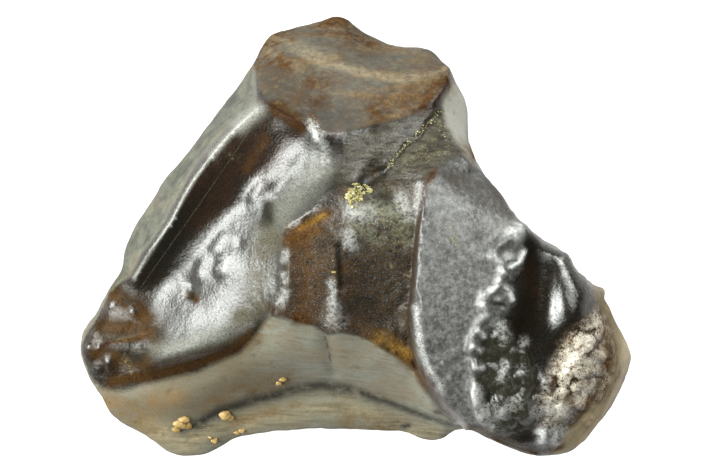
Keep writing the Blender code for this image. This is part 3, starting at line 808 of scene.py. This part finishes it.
TIP_FORMS = [
    (5.5, 3, [(93, 333)]), (6.5, 4, [(109, 361)]), (6, 2.6, [(112, 303)]), (6, 2.6, [(133, 311)]),
    (4.5, 2.2, [(88, 346)]), (4, 2, [(99, 347)]), (4, 1.4, [(120, 341), (146, 334)]),
]
print("forms of the knobs and the tip:", len(KNOB_FORMS) + len(TIP_FORMS))

# %% The crack, the block and the facet
MIDDLE_FORMS = [
    (2.2, -4, DEEP_CRACK), (6, -5, [(367, 181), (379, 174)]),
    (2, 1.2, [(312, 254), (324, 250), (334, 243), (339, 236)]),
    (2.4, -1.6, [(341, 246), (341, 268), (342, 290)]),
    (3, 0.5, [(282, 56), (320, 62), (360, 74), (410, 79), (446, 71)]),
]
carved = relief_strokes(ENAMEL_FORMS + EDGE_FORMS + KNOB_FORMS + TIP_FORMS + MIDDLE_FORMS)
print("carved from", round(float(carved.min()), 2), "to", round(float(carved.max()), 2), "steps")

# %% The relief of each area, in millimetres
GRAVEL_SINK = 0.05
KNOB_SINK = 0.06
SIDE_RISE = 0.06

enamel = 1 - masks["wall"]
for name in ("facet", "saddle", "block", "plate", "film"):
    enamel = enamel * (1 - masks[name])
# Share, and how high the wide, the middling and the fine noise rise
noise_heights = [
    (enamel * (0.3 + 0.7 * lumpy), 0.034, 0.013, 0.004),
    (masks["block"], 0.03, 0.03, 0.02),
    (masks["film"], 0.01, 0, 0.006),
    (masks["saddle"], 0, 0.022, 0.014),
    (masks["plate"], 0.01, 0, 0.008),
    (masks["plate"] * masks["plate low"], 0, 0.06, 0.024),
    (masks["wall"], 0.016, 0.008, 0),
    (masks["facet"], 0.006, 0, 0),
]
relief = np.zeros(count)
for share, wide_height, middling_height, fine_height in noise_heights:
    relief += share * (wide_height * wide + middling_height * middling + fine_height * fine)
relief += 1000 * STEP * carved
relief += 1000 * STEP * (masks["gravel"] * gravel_beads + masks["knobs"] * knob_beads + upper * tip_beads)
relief -= GRAVEL_SINK * masks["gravel"] + KNOB_SINK * masks["knobs"]
upright_share = np.clip(1 - 2 * np.abs(facing[:, 2]), 0, 1)
relief += (SIDE_RISE + 0.04 * wide + 0.02 * middling) * upright_share
print("relief from", round(float(relief.min()), 3), "to", round(float(relief.max()), 3), "mm")

# %% Tops of the beads, and the ragged edge's pale lumps with painted highlights
FLANK_FROM = 0.24
FLANK_SPREAD = 0.35
KNOB_RISE = 2.2
# Pale lumps of the ragged edge, and painted highlights on lumps beside the dark hollow, on the kidney-shaped
# lump and near the lower rim
EDGE_LUMPS_AND_HIGHLIGHTS = [
    (8, [(515, 228), (511, 234)]), (2.8, [(508, 268), (517, 262), (522, 252)]),
    (3, [(492, 256), (498, 264), (500, 274), (494, 284)]), (4, [(483, 296), (481, 304), (485, 314)]),
    (4.2, [(488, 290), (498, 287), (507, 291)]), (2.6, [(507, 291), (510, 299)]), (5, [(507, 257)]),
    (3.5, [(496, 298)]), (2.6, [(476, 328), (482, 335)]), (2.6, [(471, 346), (478, 350)]),
    (2.6, [(474, 364), (480, 366)]), (3, [(474, 384), (476, 398), (478, 412)]),
    (5, [(539, 431), (541, 440)]), (4.5, [(552, 436), (554, 442)]), (3.5, [(542, 380), (544, 388)]),
    (4.5, [(556, 304), (553, 318)]),
]
masks["edge lumps"] = strokes(EDGE_LUMPS_AND_HIGHLIGHTS)
masks["flank"] = np.clip((FLANK_FROM - facing[:, 2]) / FLANK_SPREAD, 0, 1)
masks["knob tops"] = masks["knobs"] * np.clip(knob_beads / KNOB_RISE, 0, 1)
print("share of pale lumps:", round(float(masks["edge lumps"].mean()), 4))

# %% Moving the points
moved = places + facing * (relief * 0.001)[:, None]
moved = np.clip(moved, np.array(cad_low), np.array(cad_high))
skin.vertices.foreach_set("co", moved.ravel())
skin.update()
skin.shade_smooth()
for name, shares in masks.items():
    layer = skin.attributes.new(name, "FLOAT", "POINT")
    layer.data.foreach_set("value", np.clip(shares, 0, 1).astype(np.float32))
print("moved points:", count)

# %% [markdown]
# The finish is one shader, because the real tooth is one piece whose parts shade into each other. It starts
# from dark enamel, and each mask, broken up by noise so that no border is clean, lays its own colour,
# roughness and fine bumps over it.

# %% The tooth's finish: noises
finish = Finish(bpy.data.materials.new("fossil enamel"))
mask, between, mix, layered = finish.mask, finish.between, finish.mix, finish.layered
mm = finish.millimetres()
blotches = finish.clouds(mm, 0.55, 4.0)
patches = finish.clouds(mm, 1.7, 4.0, 0.65)
speckle = finish.clouds(mm, 5.5, 4.0, 0.7)
flecks = finish.clouds(mm, 15.0, 3.0, 0.75)
grains = finish.clouds(mm, 11.0, 0.0)
pebbles = finish.clouds(mm, 4.5, 1.0, 0.4)
dents = finish.clouds(mm, 2.0, 1.0, 0.4)
ragged = 0.6 * patches + 0.4 * speckle - 0.5
grit = 0.65 * flecks + 0.35 * speckle


def drawn_out(waves, detail=4.0, rough=0.6):
    """Noise with its own number of waves per millimetre along each axis."""
    return finish.clouds(finish.stretched(mm, waves), 1.0, detail, rough)


print("nodes so far:", len(finish.tree.nodes))

# %% The tooth's finish: masks
def bordered(name, breaking=1.0, low=0.2, high=0.8):
    """A mask whose border noise has broken up."""
    return between(mask(name) + breaking * ragged, low, high)


def mottled(name, low=0.3, high=0.62):
    """A mask that noise has thinned here and there."""
    return mask(name) * between(patches + 0.3 * (speckle - 0.5), low, high)


def gritty(name, density, low, high, full):
    """A mask that falls apart into grains, all the more where it is weak."""
    return between(density * mask(name) + grit, low, high) * between(mask(name), 0.05, full)


facet, saddle, block = bordered("facet", 0.3), bordered("saddle", 0.8), bordered("block", 0.4)
plate, wall = bordered("plate", 0.8), bordered("wall", 0.5)
gravel, knobs = bordered("gravel", 0.8), bordered("knobs", 0.8)
rust, amber, brown = mottled("rust", 0.2, 0.5), mottled("amber", 0.2, 0.5), mottled("brown")
tan, dark, ochre = mottled("tan", 0.2, 0.6), mottled("dark", 0.25, 0.5), mottled("ochre", 0.3, 0.6)
film, lip, russet = mottled("film", 0.1, 0.5), mottled("lip", 0.15, 0.55), mottled("russet", 0.2, 0.6)
silt, edge_lumps_and_highlights = mottled("silt", 0.2, 0.55), mottled("edge lumps", 0.36, 0.58)
umber, stain = mottled("umber", 0.2, 0.5), mottled("plate stain", 0.35, 0.6)
frost, dust = gritty("frost", 0.13, 0.53, 0.7, 0.4), gritty("dust", 0.08, 0.6, 0.66, 0.3)
ember, green, dull, flank, pale = (mask(name) for name in ("ember", "green", "dull", "flank", "pale"))
pits = between(flecks, 0.47, 0.68) * (1 - 0.6 * plate) * (1 - 0.85 * facet) * (1 - 0.7 * wall)
print("nodes so far:", len(finish.tree.nodes))

# %% [markdown]
# Colours are judged on the real thing: enamel is a brown black that turns red where it is thin, the
# facet runs from grey to tan and rust in soft streaks, and the walls are grey with a trace of green and
# beige.

# %% Colours of the enamel and the walls
ENAMEL = (0.01, 0.0085, 0.006)
ENAMEL_RED = (0.023, 0.0115, 0.006)
RUSSET = (0.05, 0.0262, 0.0105)
FILM_GREY_AND_SHEEN = (0.105, 0.105, 0.088)
SILT = (0.062, 0.055, 0.038)
PIT_BLACK = (0.004, 0.004, 0.003)
UMBER = (0.047, 0.025, 0.009)
WALL_GREY = (0.146, 0.15, 0.126)
WALL_OLIVE = (0.12, 0.108, 0.074)
WALL_BROWN = (0.13, 0.088, 0.045)
WALL_SHADE = (0.03, 0.032, 0.025)
WALL_LOW = (0.074, 0.06, 0.038)
SIDE_WALL_LIGHT = (0.24, 0.24, 0.215)
FLANK_BROWN = (0.05, 0.034, 0.019)
FLANK_DARK = (0.015, 0.012, 0.008)
FLANK_FILM = (0.08, 0.073, 0.054)
RIM_BROWN = (0.265, 0.215, 0.138)
LIP_BEIGE = (0.24, 0.205, 0.13)
# Near black for dark stains on the walls and for the painted shade in cracks and hollows
DARK_STAIN_AND_SHADE = (0.012, 0.011, 0.008)

reddish = 0.25 * between(blotches, 0.45, 0.7) + 0.75 * ember * (1 - 0.5 * dull)
reddish = reddish * (0.55 + 0.45 * between(patches, 0.42, 0.58))
lines = drawn_out((0.7, 6.0, 6.0))
shades = 0.4 + 0.25 * between(blotches, 0.62, 0.4) + 0.35 * between(patches, 0.38, 0.58)
worn_rim = mask("right rim") * (0.65 + 0.3 * between(patches, 0.4, 0.52))
lip_colour = layered(LIP_BEIGE, [
    (0.3 * between(speckle, 0.48, 0.64), WALL_LOW),
    (0.5 * between(lines, 0.46, 0.6), WALL_LOW),
])
wall_colour = layered(WALL_GREY, [
    (between(lines, 0.35, 0.65), WALL_OLIVE),
    (0.3 * between(blotches, 0.45, 0.6), WALL_BROWN),
    (0.95 * (mask("left wall") * shades), WALL_SHADE),
    (0.75 * mask("olive"), WALL_LOW),
    # Painted light: the side wall at the upper right is made pale as if lit.
    (0.7 * mask("side"), SIDE_WALL_LIGHT),
    (worn_rim, RIM_BROWN),
    (0.8 * lip, lip_colour),
    (0.8 * brown, WALL_BROWN),
    (0.45 * between(patches, 0.6, 0.74), DARK_STAIN_AND_SHADE),
])
colour = layered(ENAMEL, [
    (reddish, ENAMEL_RED),
    (0.8 * russet, RUSSET),
    (0.8 * film, FILM_GREY_AND_SHEEN),
    (0.85 * silt, SILT),
    (0.85 * umber, UMBER),
    (wall, wall_colour),
])
upright = drawn_out((2.4, 2.4, 0.4), rough=0.65)
flank_colour = layered(FLANK_BROWN, [
    (between(upright, 0.42, 0.58), FLANK_DARK),
    (0.7 * between(patches + 0.5 * (blotches - 0.5), 0.48, 0.64), FLANK_FILM),
])
print("nodes so far:", len(finish.tree.nodes))

# %% Colours of the facet, the saddle and the plate
FACET_GREY = (0.054, 0.049, 0.036)
FACET_SHADE = (0.026, 0.024, 0.021)
FACET_TAN = (0.082, 0.052, 0.02)
FACET_BROWN = (0.05, 0.023, 0.006)
# Pale tan, also used for the painted highlight on the facet's crest
TAN_AND_CREST_HIGHLIGHT = (0.2, 0.166, 0.106)
SADDLE_GREY = (0.045, 0.039, 0.028)
SADDLE_DARK = (0.018, 0.014, 0.009)
# The plate's grey is partly its own colour and partly painted sheen from the light above it.
PLATE_GREY_AND_SHEEN = (0.122, 0.12, 0.116)
PLATE_SHADE = (0.034, 0.033, 0.031)
PLATE_BROWN = (0.04, 0.033, 0.024)

streaks = drawn_out((0.28, 1.2, 0.8), detail=5.0)
scratches = drawn_out((3.0, 5.5, 4.5), rough=0.75)
wrinkles = drawn_out((1.6, 6.0, 4.0), detail=3.0, rough=0.55)
fibrous = drawn_out((5.0, 3.2, 4.0), rough=0.7)
facet_colour = layered(FACET_GREY, [
    (between(streaks, 0.45, 0.56), FACET_TAN),
    (0.85 * tan, TAN_AND_CREST_HIGHLIGHT),
    (0.7 * mask("facet shade"), FACET_SHADE),
    (0.9 * brown, FACET_BROWN),
    (0.5 * between(speckle, 0.46, 0.62), FACET_SHADE),
    (0.45 * between(scratches, 0.48, 0.62), FACET_SHADE),
    (0.14 * between(scratches, 0.47, 0.36), TAN_AND_CREST_HIGHLIGHT),
    (0.35 * between(patches, 0.5, 0.6), FACET_BROWN),
])
saddle_colour = mix(between(wrinkles, 0.42, 0.6), SADDLE_GREY, SADDLE_DARK)
plate_colour = layered(PLATE_GREY_AND_SHEEN, [
    (between(fibrous, 0.38, 0.7), PLATE_SHADE),
    (0.68 * between(speckle, 0.48, 0.61), PLATE_SHADE),
    (0.15 * (mask("plate low") * between(dents, 0.5, 0.62)), PLATE_SHADE),
    (0.85 * stain, PLATE_BROWN),
])
colour = layered(colour, [(facet, facet_colour), (saddle, saddle_colour), (0.85 * plate, plate_colour)])
print("nodes so far:", len(finish.tree.nodes))

# %% Colours of the block, the gravel and the knobs
BLOCK_DARK = (0.01, 0.0085, 0.0065)
BLOCK_BROWN = (0.034, 0.023, 0.014)
BLOCK_GREEN = (0.072, 0.074, 0.05)
BLOCK_BLUE = (0.085, 0.089, 0.095)
AMBER = (0.092, 0.046, 0.01)
AMBER_DARK = (0.034, 0.016, 0.005)
OCHRE = (0.17, 0.1, 0.026)
GRAVEL_BROWN = (0.028, 0.027, 0.018)
GRAVEL_PALE_AND_GLINT = (0.21, 0.21, 0.17)
GRAIN_ORANGE = (0.15, 0.095, 0.038)
KNOB_PALE_AND_GLINT = (0.5, 0.465, 0.39)
RUST = (0.024, 0.0095, 0.004)
FROST_AND_HIGHLIGHT = (0.3, 0.3, 0.285)
CARINA_HIGHLIGHT = (0.23, 0.23, 0.205)
LUMP_PALE_AND_HIGHLIGHT = (0.39, 0.392, 0.38)
DUST = (0.19, 0.18, 0.095)

block_colour = layered(BLOCK_BROWN, [
    (between(speckle, 0.45, 0.62), BLOCK_DARK),
    (green * between(speckle, 0.36, 0.56), BLOCK_GREEN),
    (0.85 * russet, RUSSET),
    (0.85 * between(0.5 * patches + 0.5 * speckle, 0.49, 0.41), BLOCK_DARK),
    (0.8 * between(flecks, 0.54, 0.64), GRAIN_ORANGE),
    (0.7 * between(flecks, 0.45, 0.37), BLOCK_BLUE),
])
amber_colour = mix(between(0.5 * speckle + 0.5 * patches, 0.42, 0.56), AMBER, AMBER_DARK)
glints = 0.7 * flecks + 0.3 * speckle
# Pale specks and painted glints on the gravel.
gravel_pale_and_glints = gravel * between(glints, 0.55, 0.64)
knob_amber = knobs * between(patches, 0.5, 0.6)
# Pale specks and painted glints on the knobs, brighter on the tops of the beads.
knob_pale_and_glints = knobs * between(glints + 0.12 * mask("knob tops"), 0.52, 0.64) * (1 - 0.45 * knob_amber)
colour = layered(colour, [
    (block, block_colour),
    (0.7 * gravel, GRAVEL_BROWN),
    (0.6 * gravel_pale_and_glints, GRAVEL_PALE_AND_GLINT),
    (0.8 * knobs, RUSSET),
    (0.8 * knob_amber, amber_colour),
    (0.9 * knob_pale_and_glints, KNOB_PALE_AND_GLINT),
    (0.85 * edge_lumps_and_highlights, LUMP_PALE_AND_HIGHLIGHT),
    (0.85 * amber, amber_colour),
    (0.9 * ochre, OCHRE),
    (0.8 * rust, RUST),
    (0.9 * dark, DARK_STAIN_AND_SHADE),
    (0.85 * pale, CARINA_HIGHLIGHT),
    (0.9 * frost, FROST_AND_HIGHLIGHT),
    (0.8 * dust, DUST),
    (0.9 * flank, flank_colour),
    (0.7 * pits, PIT_BLACK),
])
print("nodes so far:", len(finish.tree.nodes))

# %% The tooth's gloss and fine bumps
ENAMEL_ROUGHNESS = 0.18
ENAMEL_IOR = 1.58
DULLEST = 0.95
DULL_PITS = 0.6


def summed(start, parts):
    """A number with shares of several masks or noises added to it."""
    for share, part in parts:
        start = start + share * part
    return start


rough = summed(ENAMEL_ROUGHNESS, [
    (0.2, speckle), (0.2, facet), (0.16, saddle), (0.16, wall), (0.14, block), (0.1, plate), (0.2, film),
])
fine_grain = summed(0, [(0.008, pebbles), (0.014, dents), (0.008, grains)])
height = summed((0.3 + 0.7 * (1 - facet) * (1 - wall)) * fine_grain, [
    (0.012, plate * fibrous), (0.03, saddle * wrinkles), (0.012, facet * scratches),
])
height = height + (block + knobs) * (0.014 * pebbles + 0.012 * grains)
height = height + flank * (0.05 * upright + 0.02 * pebbles)
normal = finish.bumps(height)
finish.surface(Base_Color=colour, Roughness=rough, Normal=normal, IOR=ENAMEL_IOR, Metallic=0.0)

matte = summed(0, [
    (0.35, facet), (0.3, saddle), (0.45, plate), (0.6, block), (0.5, wall), (0.55, film), (0.75, silt),
    (0.4, amber), (0.3, russet), (-0.3, edge_lumps_and_highlights), (0.5, pale), (1.1, dull), (0.3, knobs), (-0.2, flank),
    (0.6, brown),
])
matte = between(matte, 0.0, 1.0) * DULLEST
matte = matte + (1 - matte) * DULL_PITS * pits
finish.dulled(matte, colour, normal)
print("nodes in the finish:", len(finish.tree.nodes))

# %% The tooth stands for its solid
def add_piece(name, mesh, material):
    """A piece that rides on the tooth's body and takes its slot's finish."""
    mesh.materials.clear()
    mesh.materials.append(material)
    piece = placed(name, mesh)
    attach(piece, "root")
    return piece


tooth = add_piece("tooth_skin", skin, finish.material)
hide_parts("tooth")
print("faces in the tooth:", len(skin.polygons))

# %% [markdown]
# Small loose things lie on the tooth: a yellow crust on the block and along the crack, grains of sand on
# the lower left and a few fine fibres. Each kind is one joined mesh. To lie on the surface, a grain looks
# for it straight below its place.

# %% Where the surface is
SKY = cad_high.z + 0.01

skin_tree = BVHTree.FromPolygons(moved.tolist(), [tuple(face.vertices) for face in skin.polygons])


def surface_point(column, row):
    """The point of the tooth right under a plan position."""
    start = plan_point(column, row) + Vector((0, 0, SKY))
    return skin_tree.ray_cast(start, Vector((0, 0, -1)))[0]


print("top of the block in millimetres:", round(1000 * surface_point(385, 215).z, 2))

# %% Grains
GRAIN_LIFT = 0.2
GRAIN_FLATNESS = 0.5


def grain_mesh(name, spots, dice, corners):
    """One mesh of rough grains at plan spots; more corners make a rounder grain."""
    form = bmesh.new()
    for column, row, radius in spots:
        middle = surface_point(column, row)
        if middle is None:
            continue
        middle = middle + Vector((0, 0, GRAIN_LIFT * radius * STEP))
        turned = dice.normal(size=(corners, 3))
        turned /= np.linalg.norm(turned, axis=1)[:, None]
        reach = dice.uniform(0.65, 1.0, (corners, 1))
        turned *= reach * np.array((1.0, dice.uniform(0.6, 1.0), GRAIN_FLATNESS))
        made = [form.verts.new(middle + Vector(corner * radius * STEP)) for corner in turned]
        hull = bmesh.ops.convex_hull(form, input=made)
        unused = {thing for thing in hull["geom_interior"] if isinstance(thing, bmesh.types.BMVert)}
        bmesh.ops.delete(form, geom=list(unused), context="VERTS")
    return mesh_of(form, name)


def along(dice, line, many, spread, least, most):
    """Random spots along a line, scattered to both sides."""
    shares = dice.uniform(0, len(line) - 1.001, many)
    across, down = np.array(line, dtype=float).T
    column = np.interp(shares, range(len(line)), across) + dice.normal(0, spread, many)
    row = np.interp(shares, range(len(line)), down) + dice.normal(0, spread, many)
    return list(zip(column, row, dice.uniform(least, most, many)))


def mineral(name, scale, roughness, under, layers):
    """A mineral's finish: each layer is a colour and the limits in the noise where it comes in."""
    made = Finish(bpy.data.materials.new(name))
    clouds = made.clouds(made.millimetres(), scale, 4.0, 0.7)
    shares = [(made.between(clouds, low, high), over) for over, low, high in layers]
    made.surface(Base_Color=made.layered(under, shares), Roughness=roughness, IOR=1.5)
    return made.material


# %% [markdown]
# The crust is a cluster of small yellow-green crystals: big ones on the block's upper corner, a seam of
# small ones in the crack, and a scatter of specks below it.

# %% The crust
CRUST_SEED = 34
CRUST_RING = [
    (345, 196), (350, 186), (360, 183), (371, 187), (370, 194), (362, 198), (357, 207), (350, 208),
]
CRACK = [(443, 110), (435, 117), (423, 129), (411, 141), (402, 149), (393, 161), (388, 168)]
# Line, number of grains, how far they spread, and their least and largest radius
CRUST_TRAILS = [
    (CRACK, 120, 1.5, 0.5, 1.5),
    ([(404, 160), (424, 156), (442, 152)], 45, 4.5, 0.3, 0.8),
    ([(438, 120), (448, 138), (456, 150)], 30, 3.5, 0.4, 1.0),
    ([(356, 206), (372, 220), (396, 236)], 60, 8.0, 0.3, 0.9),
]
# Column, row and radius
LONE_CRYSTALS = [(334, 272, 3.2), (333, 260, 1.4), (335, 280, 1.2), (453, 239, 1.6), (455, 245, 1.2)]
CRUST = (0.135, 0.12, 0.038)
CRUST_PALE = (0.26, 0.245, 0.12)
CRUST_OCHRE = (0.15, 0.085, 0.02)
CRUST_CORNERS = 9

dice = np.random.default_rng(CRUST_SEED)
crust_spots = scattered(dice, CRUST_RING, many=190, least=1.0, most=3.6)
for trail in CRUST_TRAILS:
    crust_spots += along(dice, *trail)
crust_spots += LONE_CRYSTALS
crust_layers = [(CRUST_PALE, 0.42, 0.66), (CRUST_OCHRE, 0.44, 0.34)]
crust_mesh = grain_mesh("yellow crust", crust_spots, dice, CRUST_CORNERS)
add_piece("yellow_crust", crust_mesh, mineral("yellow crust", 4.0, 0.35, CRUST, crust_layers))
print("crust grains:", len(crust_spots))

# %% The sand
SAND = (0.17, 0.104, 0.03)
SAND_PALE = (0.26, 0.184, 0.07)
SAND_CORNERS = 60

# Column, row and radius
sand_spots = [
    (180, 424, 8.5), (184, 420, 7.0), (176, 430, 6.0), (187, 426, 5.5), (225, 415, 7.0), (230, 418, 4.5),
    (242, 431, 4.5), (237, 433, 4.0), (214, 441, 4.0), (210, 438, 2.5), (283, 379, 4.6), (279, 383, 4.0),
]
sand_trail = [(150, 420), (180, 434), (220, 426)]
sand_spots += along(dice, sand_trail, many=16, spread=6.0, least=0.4, most=1.0)
sand_mesh = grain_mesh("sand grains", sand_spots, dice, SAND_CORNERS)
add_piece("sand_grains", sand_mesh, mineral("sand", 3.0, 0.5, SAND, [(SAND_PALE, 0.4, 0.65)]))
print("sand grains:", len(sand_spots))

# %% [markdown]
# The fibres are dust from a cloth, thin as hair. Each one is a curve with a round bevel, made a mesh, whose
# points lie just over the surface.

# %% The fibres
FIBRE_RADIUS = 0.000004
FIBRE_TAN = (0.14, 0.12, 0.07)
FIBRE_BROWN = (0.07, 0.055, 0.03)
FIBRE_LINES = [
    [(263, 111), (240, 146), (214, 184), (186, 224), (160, 260), (139, 290)],
    [(124, 352), (131, 362), (134, 376), (135, 392)],
    [(312, 262), (322, 252), (334, 244), (342, 236), (346, 222)],
    [(436, 382), (444, 390), (454, 396)],
    [(452, 402), (462, 398), (470, 404)],
]
POINTS_PER_BEND = 8


def fibre_mesh(name, lines):
    """One mesh of thin round fibres that follow plan lines over the surface."""
    curve = bpy.data.curves.new(name, "CURVE")
    curve.dimensions = "3D"
    curve.bevel_depth = FIBRE_RADIUS
    curve.bevel_resolution = 1
    curve.use_fill_caps = True
    for line in lines:
        spline = curve.splines.new("POLY")
        shares = np.linspace(0, len(line) - 1, POINTS_PER_BEND * len(line))
        across, down = (np.interp(shares, range(len(line)), side) for side in np.array(line, dtype=float).T)
        found = [surface_point(*spot) for spot in zip(across, down)]
        lifted = [place + Vector((0, 0, 1.5 * FIBRE_RADIUS)) for place in found if place]
        spline.points.add(len(lifted) - 1)
        for point, place in zip(spline.points, lifted):
            point.co = (*place, 1)
    return final_mesh(placed(name, curve))


fibre_finish = Finish(bpy.data.materials.new("fibre"))
fibre_shade = fibre_finish.clouds(fibre_finish.millimetres(), 1.2, 2.0)
fibre_finish.surface(Base_Color=fibre_finish.mix(fibre_shade, FIBRE_TAN, FIBRE_BROWN), Roughness=0.6)
add_piece("fibres", fibre_mesh("fibres", FIBRE_LINES), fibre_finish.material)
print("fibres:", len(FIBRE_LINES))
